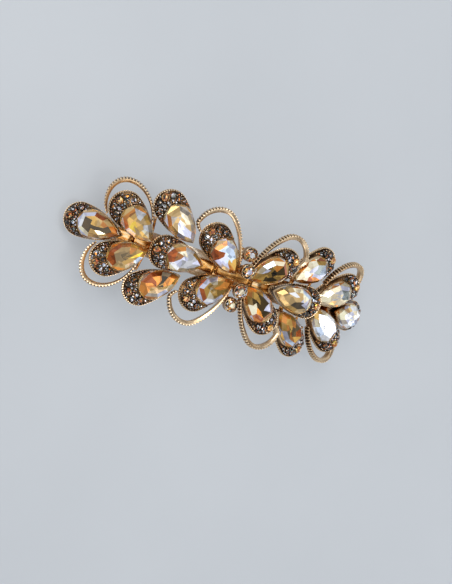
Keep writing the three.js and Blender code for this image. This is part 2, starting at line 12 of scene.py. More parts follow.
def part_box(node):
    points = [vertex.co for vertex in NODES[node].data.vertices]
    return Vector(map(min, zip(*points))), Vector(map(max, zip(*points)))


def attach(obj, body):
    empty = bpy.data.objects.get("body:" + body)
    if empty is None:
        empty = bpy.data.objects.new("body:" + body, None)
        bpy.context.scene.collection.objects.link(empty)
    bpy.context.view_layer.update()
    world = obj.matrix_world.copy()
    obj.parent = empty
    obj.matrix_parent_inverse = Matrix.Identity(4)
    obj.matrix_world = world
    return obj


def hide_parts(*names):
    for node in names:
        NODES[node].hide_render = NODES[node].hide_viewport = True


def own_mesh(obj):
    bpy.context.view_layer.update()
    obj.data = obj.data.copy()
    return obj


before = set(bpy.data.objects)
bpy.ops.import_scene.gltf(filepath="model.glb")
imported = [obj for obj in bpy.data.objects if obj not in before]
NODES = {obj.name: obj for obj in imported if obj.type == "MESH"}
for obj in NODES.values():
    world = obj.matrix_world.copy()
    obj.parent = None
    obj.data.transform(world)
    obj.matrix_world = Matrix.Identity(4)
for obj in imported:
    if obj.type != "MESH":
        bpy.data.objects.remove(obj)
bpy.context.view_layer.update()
BODY = "clip_body"
MM = 0.001

# Design dimensions shared with the CAD, in millimetres, in each petal's own frame. A pear shape is
# the place of its tip, the place of its far end, and the radius of its round end.
PEAR = (0.0, 14.0, 4.5)
LEAF = (-0.9, 18.7, 5.45)
CUP_RIM, CUP_CHAMFER, CUP_BOTTOM = -3.2, 1.1, -5.3
BEZEL_TOP, BEZEL_FOOT, BEZEL_DEPTH = -0.9, -1.5, 2.4
TABLE_RISE, TABLE_INSET = 1.14, 1.75
SHOULDER_RISE, SHOULDER_INSET = 0.1, 0.5
GIRDLE_INSET, GIRDLE_BOTTOM, CULET, CULET_INSET = 0.17, -1.3, -2.15, 3.0
RIBBON_HALF_HEIGHT = 1.0

# Points along half of a pear outline: the long side, then the round end.
SIDE_STEPS, END_STEPS = 72, 40
CUP_SIDE_STEPS, CUP_END_STEPS = 96, 54

# ---------------------------------------------------------------- mesh assembly


class Build:
    """Collects faces in a local millimetre frame, each with a tint and a foil direction, and their
    points, each with a value of wear and painted shade from 0 (recess, painted dark) to 1 (crest,
    painted light)."""

    def __init__(self):
        self.points, self.faces, self.tints, self.foils, self.worn = [], [], [], [], []

    def add(self, points, faces, tints=None, foils=None, worn=1.0):
        base = len(self.points)
        self.points.extend([tuple(float(c) for c in p) for p in points])
        self.worn.extend([worn] * len(points) if np.isscalar(worn) else worn)
        for i, face in enumerate(faces):
            self.faces.append([base + k for k in face])
            self.tints.append(tints[i] if tints else (1.0, 1.0, 1.0))
            self.foils.append(foils[i] if foils else (0.0, 0.0, 1.0))

    def emit(self, name, placement, material, smooth_angle=None, slot="antique_gold",
             stands_for=()):
        mesh = bpy.data.meshes.new(name)
        world = [placement @ Vector(p) * MM for p in self.points]
        mesh.from_pydata([tuple(p) for p in world], [], self.faces)
        corners = [len(f) for f in self.faces]
        tint = mesh.attributes.new("tint", "FLOAT_COLOR", "CORNER")
        colours = np.array([(*t, 1.0) for t in self.tints], np.float32)
        tint.data.foreach_set("color", np.repeat(colours, corners, axis=0).ravel())
        foil = mesh.attributes.new("foil", "FLOAT_VECTOR", "CORNER")
        turned = np.array(self.foils, np.float64) @ np.array(placement.to_3x3()).T
        directions = np.repeat(turned, corners, axis=0).astype(np.float32)
        foil.data.foreach_set("vector", directions.ravel())
        worn = mesh.attributes.new("worn", "FLOAT", "POINT")
        worn.data.foreach_set("value", np.array(self.worn, np.float32))
        mesh.materials.append(material)
        work = bmesh.new()
        work.from_mesh(mesh)
        bmesh.ops.recalc_face_normals(work, faces=work.faces)
        work.to_mesh(mesh)
        work.free()
        if smooth_angle:
            mesh.shade_smooth()
            mesh.set_sharp_from_angle(angle=math.radians(smooth_angle))
        else:
            mesh.shade_flat()
        piece = bpy.data.objects.new(name, mesh)
        bpy.context.scene.collection.objects.link(piece)
        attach(piece, BODY)
        if stands_for:
            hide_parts(*stands_for)
        return piece


def stack(build, rings, worn=1.0):
    """A closed skin through rings of equal point count, capped at both ends."""
    count = len(rings[0])
    points = [p for ring in rings for p in ring]
    faces = []
    for r in range(len(rings) - 1):
        low, high = r * count, (r + 1) * count
        for i in range(count):
            j = (i + 1) % count
            faces.append([low + i, low + j, high + j, high + i])
    faces.append(list(range(count))[::-1])
    faces.append([(len(rings) - 1) * count + i for i in range(count)])
    build.add(points, faces, worn=worn)


BALL_ROWS, BALL_COLUMNS = 4, 7


def ball(build, centre, radius, worn):
    x, y, z = centre
    rows, columns = BALL_ROWS, BALL_COLUMNS
    points = [(x, y, z - radius)]
    for r in range(1, rows):
        polar = math.pi * r / rows
        for c in range(columns):
            turn = 2 * math.pi * (c + 0.5 * (r % 2)) / columns
            points.append((x + radius * math.sin(polar) * math.cos(turn),
                           y + radius * math.sin(polar) * math.sin(turn),
                           z - radius * math.cos(polar)))
    points.append((x, y, z + radius))
    last = len(points) - 1
    faces = [[0, 1 + (c + 1) % columns, 1 + c] for c in range(columns)]
    for r in range(rows - 2):
        for c in range(columns):
            a, b = 1 + r * columns + c, 1 + r * columns + (c + 1) % columns
            faces.append([a, b, b + columns, a + columns])
    base = 1 + (rows - 2) * columns
    faces += [[last, base + c, base + (c + 1) % columns] for c in range(columns)]
    build.add(points, faces, worn=worn)


def pear_arcs(shape):
    """Place and radius of a pear's round end, and the radius of its two long side arcs."""
    tip, far, radius = shape
    centre = far - radius
    reach = centre - tip
    return centre, radius, (reach * reach + radius * radius) / (2 * radius)


def pear(shape, grow, side=SIDE_STEPS, end=END_STEPS):
    """Closed pear outline offset by grow: from the tip along +v, round the end, back along -v."""
    centre, radius, big = pear_arcs(shape)
    drop = big - radius
    r, R = radius + grow, big + grow
    lean = math.acos(drop / R)
    half = [(centre - R * math.sin(t), R * math.cos(t) - drop)
            for t in np.linspace(lean, 0, side, endpoint=False)]
    half += [(centre + r * math.cos(t), r * math.sin(t))
             for t in np.linspace(math.pi / 2, 0, end, endpoint=False)]
    return np.array(half + [(centre + r, 0.0)] + [(x, -y) for x, y in half[:0:-1]])


def pear_distance(shape, u, v):
    """Signed distance from a pear outline, positive outside."""
    centre, radius, big = pear_arcs(shape)
    if u >= centre:
        return math.hypot(u - centre, v) - radius
    return math.hypot(u - centre, abs(v) + big - radius) - big


def lift(outline, z):
    return [(x, y, z) for x, y in outline]


# ---------------------------------------------------------------- reading the CAD nodes

MERGE_DIGITS = 3
PLANES_TRIED = 60
LEAST_UPWARD = 0.2
SAME_DIRECTION = 0.9995
SAME_OFFSET = 0.03
FLAT_BAND = 0.02


def cad_points(node_name):
    """A node's points in millimetres, merged to a thousandth, and its triangles."""
    mesh = NODES[node_name].data
    mesh.calc_loop_triangles()
    points = np.array([v.co for v in mesh.vertices], float) / MM
    rounded = np.round(points, MERGE_DIGITS)
    unique, where = np.unique(rounded, axis=0, return_inverse=True)
    where = np.asarray(where).reshape(-1)
    triangles = np.array([[where[i] for i in t.vertices] for t in mesh.loop_triangles])
    return unique, triangles


def widest_plane(points, triangles, upward=False):
    """Normal of the flat with the largest area, and the triangles that lie in it."""
    a, b, c = (points[triangles[:, i]] for i in range(3))
    cross = np.cross(b - a, c - a)
    area = np.linalg.norm(cross, axis=1)
    normal = cross / area[:, None].clip(1e-12)
    offset = (normal * a).sum(1)
    best, chosen = -1.0, None
    for k in np.argsort(-area)[:PLANES_TRIED]:
        if upward and normal[k][2] < LEAST_UPWARD:
            continue
        same = (normal @ normal[k] > SAME_DIRECTION) & (abs(offset - offset[k]) < SAME_OFFSET)
        if area[same].sum() > best:
            best, chosen = area[same].sum(), same
    mean = (cross[chosen]).sum(0)
    mean /= np.linalg.norm(mean)
    height = points @ mean
    level = np.median(height[triangles[chosen]])
    flat = (abs(height[triangles] - level) < FLAT_BAND).all(axis=1)
    return mean, triangles[flat]


def placed(along, across, up, origin):
    m = Matrix.Identity(4)
    for row in range(3):
        m[row] = (along[row], across[row], up[row], origin[row])
    return m


def petal_frame(node_name):
    """Placement (in millimetres) of a petal's own frame, read from its cup's flat floor."""
    points, triangles = cad_points(node_name)
    down, floor_faces = widest_plane(points, triangles)
    up = -down
    ring = points[np.unique(floor_faces)]
    middle = ring.mean(0)
    spread = (ring - middle) - np.outer((ring - middle) @ up, up)
    along = np.linalg.eigh(spread.T @ spread)[1][:, -1]
    reach = spread @ along
    if reach.max() > -reach.min():
        along, reach = -along, -reach
    across = np.cross(up, along)
    end = middle + along * reach.max()
    far = ring[np.argmax(reach)]
    sideways = (far - middle) @ across
    origin = end + across * sideways - along * (LEAF[1] - CUP_CHAMFER) - up * CUP_BOTTOM
    return placed(along, across, up, origin)


def ribbon_frame(node_name):
    """Outer edge of a CAD ribbon in its own plane, its width along that edge, and the placement
    of that plane."""
    points, triangles = cad_points(node_name)
    up, top = widest_plane(points, triangles, upward=True)
    edges = {(a, b) for t in top for a, b in ((t[0], t[1]), (t[1], t[2]), (t[2], t[0]))}
    outline = {a: b for a, b in edges if (b, a) not in edges}
    start = min(outline)
    loop = [start]
    while outline[loop[-1]] != start:
        loop.append(outline[loop[-1]])
    ring = points[loop]
    half = len(ring) // 2
    turns = []
    for shift in range(half):
        rolled = np.roll(ring, -shift, 0)
        turns.append(np.linalg.norm(rolled[:half] - rolled[:half - 1:-1], axis=1).max())
    rolled = np.roll(ring, -int(np.argmin(turns)), 0)
    one, two = rolled[:half], rolled[:half - 1:-1]
    lengths = [np.linalg.norm(np.diff(rail, axis=0), axis=1).sum() for rail in (one, two)]
    outer, inner = (one, two) if lengths[0] > lengths[1] else (two, one)
    centre = outer.mean(0)
    along = outer[half // 2] - outer[0]
    along -= up * (along @ up)
    along /= np.linalg.norm(along)
    across = np.cross(up, along)
    flat = np.stack([(outer - centre) @ along, (outer - centre) @ across], 1)
    placement = placed(along, across, up, centre - up * RIBBON_HALF_HEIGHT)
    return placement, flat, np.linalg.norm(outer - inner, axis=1)


# ---------------------------------------------------------------- materials


def shader(name, **sockets):
    material = bpy.data.materials.new(name)
    material.use_nodes = True
    bsdf = material.node_tree.nodes["Principled BSDF"]
    for key, value in sockets.items():
        bsdf.inputs[key.replace("_", " ")].default_value = value
    return material, material.node_tree, bsdf


def node(tree, kind, links=(), **values):
    made = tree.nodes.new(kind)
    for key, value in values.items():
        if key in made.inputs:
            made.inputs[key].default_value = value
        else:
            setattr(made, key, value)
    for output, key in links:
        tree.links.new(output, made.inputs[key])
    return made


def ramp(tree, source, stops):
    made = node(tree, "ShaderNodeValToRGB", [(source, "Fac")])
    elements = made.color_ramp.elements
    while len(elements) < len(stops):
        elements.new(0.5)
    for element, (place, colour) in zip(elements, stops):
        element.position = place
        element.color = (*colour, 1.0)
    return made


def noise(tree, vector, scale, detail):
    """Fac output of a noise texture."""
    made = node(tree, "ShaderNodeTexNoise", [(vector, "Vector")], Scale=scale, Detail=detail)
    return made.outputs["Fac"]


def remap(tree, source, low, high, start=0.0, stop=1.0):
    """Result output of a map from start..stop to low..high."""
    made = node(tree, "ShaderNodeMapRange", [(source, "Value")])
    made.inputs["From Min"].default_value = start
    made.inputs["From Max"].default_value = stop
    made.inputs["To Min"].default_value = low
    made.inputs["To Max"].default_value = high
    return made.outputs["Result"]


def stretched(tree, vector, scale):
    made = node(tree, "ShaderNodeMapping", [(vector, "Vector")])
    made.inputs["Scale"].default_value = scale
    return made.outputs["Vector"]


def relief(tree, bsdf, height, strength, distance):
    made = node(tree, "ShaderNodeBump", [(height, "Height")], Strength=strength, Distance=distance)
    tree.links.new(made.outputs["Normal"], bsdf.inputs["Normal"])


def place_of(tree):
    return node(tree, "ShaderNodeTexCoord").outputs["Object"]


def metal(name, recess, mid, light, roughness, grain, bump, patches, contrast):
    """Plated metal: dark in the recesses as painted shade along with antique patina, light on the
    crests as painted highlight along with rubbed wear, with a fine cast grain.
    The value comes from the per-point attribute of wear and painted shade plus patches of noise,
    times and plus the contrast pair."""
    material, tree, bsdf = shader(name, Metallic=1.0)
    place = place_of(tree)
    cloud = noise(tree, stretched(tree, place, patches), 1.0, 4.0)
    fine = noise(tree, place, grain, 3.0)
    worn = node(tree, "ShaderNodeAttribute", attribute_name="worn")
    spread = node(tree, "ShaderNodeMath", [(cloud, 0)], operation="MULTIPLY_ADD")
    spread.inputs[1].default_value, spread.inputs[2].default_value = contrast
    shade = node(tree, "ShaderNodeMath", [(worn.outputs["Fac"], 0), (spread.outputs[0], 1)],
                 operation="ADD")
    shade.use_clamp = True
    colour = ramp(tree, shade.outputs[0], [(0.0, recess), (0.4, mid), (0.85, light)])
    tree.links.new(colour.outputs["Color"], bsdf.inputs["Base Color"])
    rough = remap(tree, fine, roughness * 0.65, roughness * 1.45)
    tree.links.new(rough, bsdf.inputs["Roughness"])
    relief(tree, bsdf, fine, bump, 0.00005)
    return material


def steel(name, dark, light, roughness):
    """Plated strip: long draw lines, small scuffs and a faint tarnish."""
    material, tree, bsdf = shader(name, Metallic=1.0)
    place = place_of(tree)
    lines = noise(tree, stretched(tree, place, (60.0, 1400.0, 1400.0)), 1.0, 3.0)
    cloud = noise(tree, place, 120.0, 5.0)
    colour = ramp(tree, cloud, [(0.3, dark), (0.65, light)])
    tree.links.new(colour.outputs["Color"], bsdf.inputs["Base Color"])
    rough = remap(tree, lines, roughness * 0.7, roughness * 1.5)
    tree.links.new(rough, bsdf.inputs["Roughness"])
    relief(tree, bsdf, lines, 0.25, 0.00004)
    return material


def cut_glass(name, metallic, roughness, cell_scale, inner_facet_paint):
    """Foil-backed cut glass: each facet shows its own painted colour (the glass and foil tint
    along with painted reflections and glints) and foil direction, broken by sharp cells that paint
    in the reflections of the facets behind it, under a clear polished skin."""
    material, tree, bsdf = shader(name, Metallic=metallic, Roughness=roughness,
                                  Specular_IOR_Level=0.1, Coat_Weight=0.75,
                                  Coat_Roughness=0.015, Coat_IOR=1.56)
    tint = node(tree, "ShaderNodeAttribute", attribute_name="tint")
    foil = node(tree, "ShaderNodeAttribute", attribute_name="foil")
    cells = node(tree, "ShaderNodeTexVoronoi", [(place_of(tree), "Vector")], Scale=cell_scale)
    grey = node(tree, "ShaderNodeSeparateXYZ", [(cells.outputs["Color"], "Vector")])
    level = remap(tree, grey.outputs["X"], 1.0 - inner_facet_paint, 1.0 + inner_facet_paint)
    colour = node(tree, "ShaderNodeVectorMath", [(tint.outputs["Color"], 0)], operation="SCALE")
    tree.links.new(level, colour.inputs["Scale"])
    tree.links.new(colour.outputs["Vector"], bsdf.inputs["Base Color"])
    turn = node(tree, "ShaderNodeVectorTransform", [(foil.outputs["Vector"], "Vector")],
                vector_type="NORMAL", convert_from="OBJECT", convert_to="WORLD")
    tree.links.new(turn.outputs["Vector"], bsdf.inputs["Normal"])
    return material


GOLD = metal("antique_gold", (0.035, 0.016, 0.006), (0.53, 0.31, 0.14), (0.95, 0.74, 0.49),
             roughness=0.24, grain=900.0, bump=0.15, patches=(260.0, 260.0, 260.0),
             contrast=(0.7, -0.35))
FRAME_GOLD = metal("antique_gold_cast", (0.22, 0.07, 0.012), (0.86, 0.42, 0.11),
                   (0.98, 0.76, 0.46), roughness=0.16, grain=300.0, bump=0.12,
                   patches=(130.0, 900.0, 900.0), contrast=(2.6, -0.98))
STEEL = steel("plated_steel", (0.52, 0.42, 0.31), (0.74, 0.64, 0.52), roughness=0.24)
SPRING = steel("spring_steel", (0.50, 0.50, 0.50), (0.72, 0.72, 0.72), roughness=0.20)
PEAR_GLASS = cut_glass("champagne_glass", 0.70, 0.17, cell_scale=480.0, inner_facet_paint=0.42)
PAVE_GLASS = cut_glass("pave_glass", 0.60, 0.08, cell_scale=1500.0, inner_facet_paint=0.35)

# ---------------------------------------------------------------- stones

# Facet colours by letter: the glass and foil tints along with painted reflections, namely white
# glints, lavender and blue sky reflections, and dark reflected facets.
FOIL_AND_REFLECTION = {
    "w": (0.98, 0.97, 1.0), "l": (0.64, 0.64, 0.78), "b": (0.60, 0.70, 0.86),
    "c": (0.92, 0.78, 0.54), "g": (0.58, 0.34, 0.08), "t": (0.66, 0.43, 0.17),
    "y": (0.95, 0.60, 0.05), "a": (0.60, 0.22, 0.035), "o": (0.42, 0.10, 0.02),
    "p": (0.95, 0.58, 0.24), "d": (0.06, 0.038, 0.012), "k": (0.014, 0.013, 0.011),
    "e": (0.28, 0.31, 0.29), "s": (0.50, 0.43, 0.35),
}

# Facet colours of each pear, painted to show its reflections and glints along with its tint, nine
# places from the tip round +v: crown, outer and inner table.
PEAR_LOOKS = {
    "left_tip": ("agtcwlota", "dcgddgtad", "ddddggtgd"),
    "left_outer_back": ("ctwaawgst", "gtyggwtwc", "gyyggttgg"),
    "left_outer_front": ("gbctooaga", "yggttttag", "gdtttddtd"),
    "left_side_back": ("cltatscsl", "lwtstcctl", "wlttsttcl"),
    "left_side_front": ("gclsaooca", "agpgaoada", "dgppaoadg"),
    "left_mid": ("gccwoawga", "wwwlacwwl", "wwwwllwww"),
    "left_inner_back": ("acloalcga", "allobbbgg", "gbllbbbbg"),
    "left_inner_front": ("aglwollta", "aggcggcga", "agtgcptga"),
    "right_inner_back": ("gcbcoogga", "glgadgddg", "gggdkdggg"),
    "right_inner_front": ("agllaocga", "gddldacdg", "gddddddkg"),
    "right_mid": ("ttcbltgtt", "twtclddtt", "tttldddtt"),
    "right_side_back": ("cccglgaoa", "clleblaoc", "clleellac"),
    "right_side_front": ("aglboblga", "gadogadag", "gddddogdg"),
    "right_outer_back": ("ccclcpcsc", "ccweeccpc", "cwcbecccw"),
    "right_outer_front": ("gcwbwwbcg", "bbwblbwbb", "bbbbbblbb"),
    "right_tip": ("cpwclwwsc", "wlcwlbwlw", "lcwwlwlcl"),
}
# Letters that the narrow band under the crown takes besides the crown's own.
BAND_LETTERS = "agt"

# World direction of a foil that reflects the ceiling, and how far some pale stones turn to it.
CEILING_SIDE = (-0.28, 0.04, 0.96)
CEILING_SHARE = {"right_outer_front": 0.62, "right_tip": 0.4}

# Crown corners along one side, as places on the outline (0 at the tip, 1 at the far end).
CORNERS = (0.17, 0.37, 0.61, 0.86)
# The table's hub lies between these places, and its inner corners this far out from the hub.
HUB_ALONG, HUB_ACROSS, HUB_REACH = (6.8, 9.6), (-0.8, 0.8), (0.42, 0.62)
# How far foils lean at random from their facets, and how far tints vary.
TABLE_LEAN, CROWN_LEAN, BAND_LEAN = 0.2, 0.14, 0.25
TABLE_SHADE, CROWN_SHADE, BAND_SHADE = 0.04, 0.1, 0.2
GIRDLE_LIFT, PAVILION_DROP, PAVILION_THINNING = 0.02, 0.1, 4


def unit(v):
    v = np.array(v, float)
    return v / max(np.linalg.norm(v), 1e-12)


def facet_normal(points, face):
    """Upward normal of a face, from its first three points."""
    a, b, c = (np.array(points[face[i]], float) for i in (0, 1, 2))
    n = unit(np.cross(b - a, c - a))
    return n if n[2] >= 0 else -n


def leaning(normal, rng, amount):
    lean = np.array([rng.uniform(-amount, amount) for _ in range(3)])
    return tuple(unit(np.array(normal) + lean))


def pear_pavilion(build):
    """Back of the stone, from the culet up to just under the bezel's top."""
    thin = slice(None, None, PAVILION_THINNING)
    girdle = pear(PEAR, -GIRDLE_INSET)[thin]
    stack(build, [lift(pear(PEAR, -CULET_INSET)[thin], CULET), lift(girdle, GIRDLE_BOTTOM),
                  lift(girdle, BEZEL_TOP - PAVILION_DROP)])
    build.tints = [FOIL_AND_REFLECTION["g"]] * len(build.faces)


def pear_stone(end, placement, look, rng):
    """Pear cut: pavilion, steep shoulder band, nine crown facets, and a table over broad foil
    facets, painted with the pavilion's reflections, in an outer and an inner ring round a hub."""
    crown, outer, inner = look
    build = Build()
    pear_pavilion(build)
    half = SIDE_STEPS + END_STEPS
    total = 2 * half
    shoulder, table = pear(PEAR, -SHOULDER_INSET), pear(PEAR, -TABLE_INSET)
    stations = [0] + [round(s * half) for s in CORNERS]
    stations += [total - s for s in stations[:0:-1]]
    count = len(stations)
    points = [(*p, BEZEL_TOP + GIRDLE_LIFT) for p in pear(PEAR, -GIRDLE_INSET)]
    points += [(*shoulder[s], SHOULDER_RISE) for s in stations]
    points += [(*table[s], TABLE_RISE) for s in stations]
    hub = (rng.uniform(*HUB_ALONG), rng.uniform(*HUB_ACROSS))
    for k in range(count):
        a, b = table[stations[k]], table[stations[(k + 1) % count]]
        reach = rng.uniform(*HUB_REACH)
        points.append((*(hub + reach * ((a + b) / 2 - hub)), TABLE_RISE))
    points.append((*hub, TABLE_RISE))
    faces, tints, foils = [], [], []
    leans = {letter: leaning((0, 0, 1), rng, TABLE_LEAN) for letter in FOIL_AND_REFLECTION}
    share = CEILING_SHARE.get(end, 0.0)
    ceiling = np.array(placement.to_3x3().inverted() @ Vector(CEILING_SIDE))
    leans = {letter: tuple(unit((1 - share) * np.array(lean) + share * ceiling))
             for letter, lean in leans.items()}

    def put(face, letter, foil, spread):
        faces.append(face)
        shade = rng.uniform(1 - spread, 1 + spread)
        tints.append(tuple(min(1.0, c * shade) for c in FOIL_AND_REFLECTION[letter]))
        foils.append(foil)

    for k in range(count):
        n = (k + 1) % count
        start, stop = stations[k], stations[n] or total
        middle = (start + stop) // 2
        s0, s1, t0, t1 = total + k, total + n, total + count + k, total + count + n
        r0, r1, top = total + 2 * count + k, total + 2 * count + n, total + 3 * count
        band = [[s0] + [i % total for i in range(start, middle + 1)],
                [s0, middle % total, s1],
                [s1] + [i % total for i in range(middle, stop + 1)]]
        for face in band:
            flat = facet_normal([points[face[0]], points[face[1]], points[face[-1]]], (0, 1, 2))
            put(face, rng.choice(crown + BAND_LETTERS), leaning(flat, rng, BAND_LEAN), BAND_SHADE)
        face = [s0, s1, t1, t0]
        put(face, crown[k], leaning(facet_normal(points, face), rng, CROWN_LEAN), CROWN_SHADE)
        put([t0, t1, r0], outer[k], leans[outer[k]], TABLE_SHADE)
        put([t1, r1, r0], outer[k], leans[outer[k]], TABLE_SHADE)
        put([top, r0, r1], inner[k], leans[inner[k]], TABLE_SHADE)
    put(list(range(total))[::-1], "g", (0.0, 0.0, 1.0), CROWN_SHADE)
    build.add(points, faces, tints, foils)
    return build.emit("pear_cut_" + end, placement, PEAR_GLASS, slot="champagne_glass",
                      stands_for=("pear_stone_" + end,))


# Facet letters of the small stones, with painted white glints among them, as often as they are
# drawn.
PALETTES = {
    "dark": "kkkakkdwekkdkkokkakw",
    "pale": "wlwkelb",
    "amber": "apgayogapa",
    "cognac": "oakopkgokapkd",
    "bronze": "adokkgdokk",
    "chaton": "kdaokogkpkwgakakwt",
}
# Shape of a small round stone as parts of its radius, and how its foils and tints vary.
GIRDLE_HALF, BLUNT_END, CROWN_CURVE = 0.06, 0.55, 0.75
FACET_LEAN, QUARTER_LEAN, HEART_LEAN, FACET_SHADE = 0.35, 0.4, 0.1, (0.8, 1.2)
QUARTERS = 4


def brilliant(build, centre, normal, radius, palette, rng, sides, rows, rise=0.42, table=0.56,
              depth=0.4, heart=None):
    """Small round stone: table in four quarters painted as reflected sparkle (or all one heart
    colour), crown rows, girdle and blunt back."""
    n = Vector(unit(normal))
    x = n.orthogonal().normalized()
    y = n.cross(x)
    spin = rng.uniform(0, math.pi)

    def at(r, turn, h):
        out = x * math.cos(turn + spin) + y * math.sin(turn + spin)
        return tuple(Vector(centre) + out * r * radius + n * h * radius)

    step = 2 * math.pi / sides
    levels = [(BLUNT_END, -depth, 0), (1.0, -GIRDLE_HALF, 0), (1.0, GIRDLE_HALF, 0)]
    for row in range(1, rows + 1):
        share = row / rows
        levels.append((1.0 + (table - 1.0) * share,
                       GIRDLE_HALF + (rise - GIRDLE_HALF) * share ** CROWN_CURVE,
                       0.5 * (row % 2)))
    points = [at(r, step * (k + phase), h) for r, h, phase in levels for k in range(sides)]
    points.append(at(0, 0, rise))
    faces, tints, foils = [], [], []

    def put(face, tint, foil):
        faces.append(face)
        tints.append(tint)
        foils.append(tuple(foil))

    letters = PALETTES[palette]
    for k in range(sides):
        j = (k + 1) % sides
        for row in (0, 1):
            low, high = row * sides, (row + 1) * sides
            put([low + k, low + j, high + j, high + k], FOIL_AND_REFLECTION["k"], n)
        for row in range(rows):
            low, high = (2 + row) * sides, (3 + row) * sides
            if row % 2 == 0:
                pair = ([low + k, low + j, high + k],
                        [low + k, high + k, high + (k - 1) % sides])
            else:
                pair = ([low + k, high + j, high + k], [low + k, low + j, high + j])
            for face in pair:
                a, b, c = (np.array(points[i]) for i in face)
                flat = unit(np.cross(b - a, c - a))
                if flat @ np.array(n) < 0:
                    flat = -flat
                colour = FOIL_AND_REFLECTION[rng.choice(letters)]
                tint = tuple(min(1.0, c * rng.uniform(*FACET_SHADE)) for c in colour)
                put(face, tint, leaning(flat, rng, FACET_LEAN))
    quarter = [FOIL_AND_REFLECTION[heart or rng.choice(letters)] for _ in range(QUARTERS)]
    lean = HEART_LEAN if heart else QUARTER_LEAN
    leans = [leaning(tuple(n), rng, lean) for _ in range(QUARTERS)]
    top, edge = (3 + rows) * sides, (2 + rows) * sides
    for k in range(sides):
        q = k * QUARTERS // sides
        put([top, edge + k, edge + (k + 1) % sides], quarter[q], leans[q])
    put(list(range(sides))[::-1], FOIL_AND_REFLECTION["k"], -n)
    build.add(points, faces, tints, foils)


# Pave stones of one petal: u, v, radius, palette; the rows off the axis are mirrored.
AXIS_STONES = ((14.9, 0.0, 0.78, "dark"), (16.93, 0.0, 1.25, "amber"),
               (14.85, 1.6, 0.6, "pale"), (14.85, -1.6, 0.6, "dark"))
SIDE_STONES = ((14.15, 3.45, 1.0, "dark"), (16.15, 2.32, 1.12, "dark"),
               (12.6, 4.42, 0.62, "dark"), (15.4, 4.1, 0.42, "bronze"),
               (11.55, 4.7, 0.42, "bronze"), (10.75, 4.86, 0.32, "bronze"))
# Fine staggered grid of the bed, in which filling stones look for room.
GRID_START, GRID_ALONG, GRID_ACROSS = 7.2, 0.14, 0.13
GRID_ROWS, GRID_HALF_COLUMNS = 82, 44
FILL_RADII, FILL_GROWTH = (0.36, 0.22), 1.35
FILL_PALETTES = ("bronze", "dark", "dark", "pale", "gold")
BEZEL_ROOM, RIM_ROOM, STONE_OVERLAP = 0.02, 0.4, 0.97
# Stones above the first radius have two crown rows and ten sides, above the second eight sides.
LARGE_STONE, SMALL_STONE = 0.8, 0.4
BEAD_RADIUS, BEAD_CHANCE, BEAD_RISE = 0.24, 0.5, 0.3
STONE_LIFT, STONE_RISE, STONE_LEAN, STONE_SHARE = 0.12, 0.25, 0.12, 0.98
STEEPEST_BED, SLOPE_STEP = 0.45, 0.05


def bed_height(u, v):
    near = max(pear_distance(PEAR, u, v), 0.0)
    far = max(-pear_distance(LEAF, u, v), 0.0)
    return BEZEL_FOOT + (CUP_RIM - BEZEL_FOOT) * near / max(near + far, 1e-6)


def bed_normal(u, v):
    """Normal of the bed, with its slope held to the steepest that stones are set at."""
    d = SLOPE_STEP
    gu = (bed_height(u + d, v) - bed_height(u - d, v)) / (2 * d)
    gv = (bed_height(u, v + d) - bed_height(u, v - d)) / (2 * d)
    slope = math.hypot(gu, gv)
    if slope > STEEPEST_BED:
        gu, gv = gu * STEEPEST_BED / slope, gv * STEEPEST_BED / slope
    return tuple(unit((-gu, -gv, 1.0)))


def bed_spots():
    """Places of the staggered grid over the whole leaf."""
    return [(GRID_START + GRID_ALONG * i, GRID_ACROSS * j + GRID_ACROSS / 2 * (i % 2))
            for i in range(GRID_ROWS) for j in range(-GRID_HALF_COLUMNS, GRID_HALF_COLUMNS + 1)]


def room(u, v, stones):
    """Radius of the largest stone that fits at a place of the bed."""
    clear = min(pear_distance(PEAR, u, v) - BEZEL_ROOM, -pear_distance(LEAF, u, v) - RIM_ROOM)
    for a, b, r, _ in stones:
        clear = min(clear, math.hypot(u - a, v - b) - STONE_OVERLAP * r)
    return clear


def pave(end, placement, rng):
    """Pave of one petal; the end stone is a bright topaz on the right wing and a deep cognac on
    the left."""
    stones = list(AXIS_STONES) + [(u, s * v, r, p) for u, v, r, p in SIDE_STONES for s in (1, -1)]
    if end.startswith("left"):
        stones = [(u, v, r, "cognac" if p == "amber" else p) for u, v, r, p in stones]
    spots = bed_spots()
    rng.shuffle(spots)
    for least in FILL_RADII:
        for u, v in spots:
            r = room(u, v, stones)
            if r > least:
                stones.append((u, v, min(r, least * FILL_GROWTH), rng.choice(FILL_PALETTES)))
    build, beads = Build(), Build()
    for u, v, r, palette in stones:
        height = bed_height(u, v)
        if palette == "gold" or (r < BEAD_RADIUS and rng.random() < BEAD_CHANCE):
            ball(beads, (u, v, height + STONE_LIFT + BEAD_RISE * r), r, rng.uniform(0.3, 1.0))
            continue
        normal = leaning(bed_normal(u, v), rng, STONE_LEAN)
        sides = 10 if r > LARGE_STONE else 8 if r > SMALL_STONE else 5
        brilliant(build, (u, v, height + STONE_RISE * r + STONE_LIFT), normal, r * STONE_SHARE,
                  palette, rng, sides, rows=2 if r > LARGE_STONE else 1)
    build.emit("pave_" + end, placement, PAVE_GLASS, slot="chaton_glass")
    beads.emit("pave_beads_" + end, placement, GOLD, smooth_angle=60)


# ---------------------------------------------------------------- petal cups

# Depth of the milling, and its share at each point of the outline over one ridge.
RIDGE_DEPTH = 0.3
CUP_RIDGE = (0.0, 0.0, 0.7, 1.0, 0.7)
# Share of the milling's depth that the rim keeps, and how dark the grooves are painted, as painted
# shade along with patina.
RIM_MILLING, GROOVE_SHADE_AND_PATINA = (0.25, 0.75), 0.85


def cup_outline(shape, grow):
    return pear(shape, grow, CUP_SIDE_STEPS, CUP_END_STEPS)


